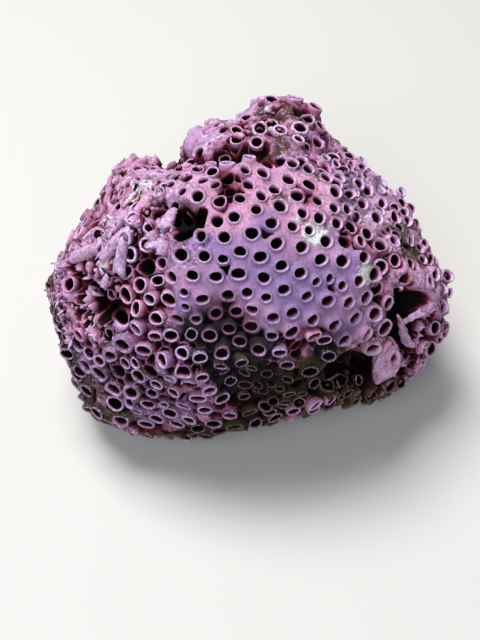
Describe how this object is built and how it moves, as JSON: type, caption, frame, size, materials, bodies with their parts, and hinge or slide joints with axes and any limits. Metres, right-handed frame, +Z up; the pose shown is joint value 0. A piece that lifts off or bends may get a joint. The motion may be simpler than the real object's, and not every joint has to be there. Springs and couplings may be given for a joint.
{
  "type": "organ pipe coral",
  "caption": "Broken lump of organ pipe coral skeleton, lilac pink, covered in open pipe mouths and cut off flat at the foot to stand as a shelf or aquarium decoration.",
  "frame": {"origin": "on the flat cut, under the middle of the lump's width and depth", "axes": "+Z up off the cut; +X along the lump's longest side, to the right in the picture; +Y to the back, away from the camera"},
  "size_m": [0.057, 0.047, 0.0412],
  "materials": {
    "coral": "matt, porous lime skeleton, lilac to pink, with paler rims, dark red bores and grey-green dirt in the gaps"
  },
  "bodies": {
    "root": {"coral_lump": "coral"}
  },
  "joints": []
}
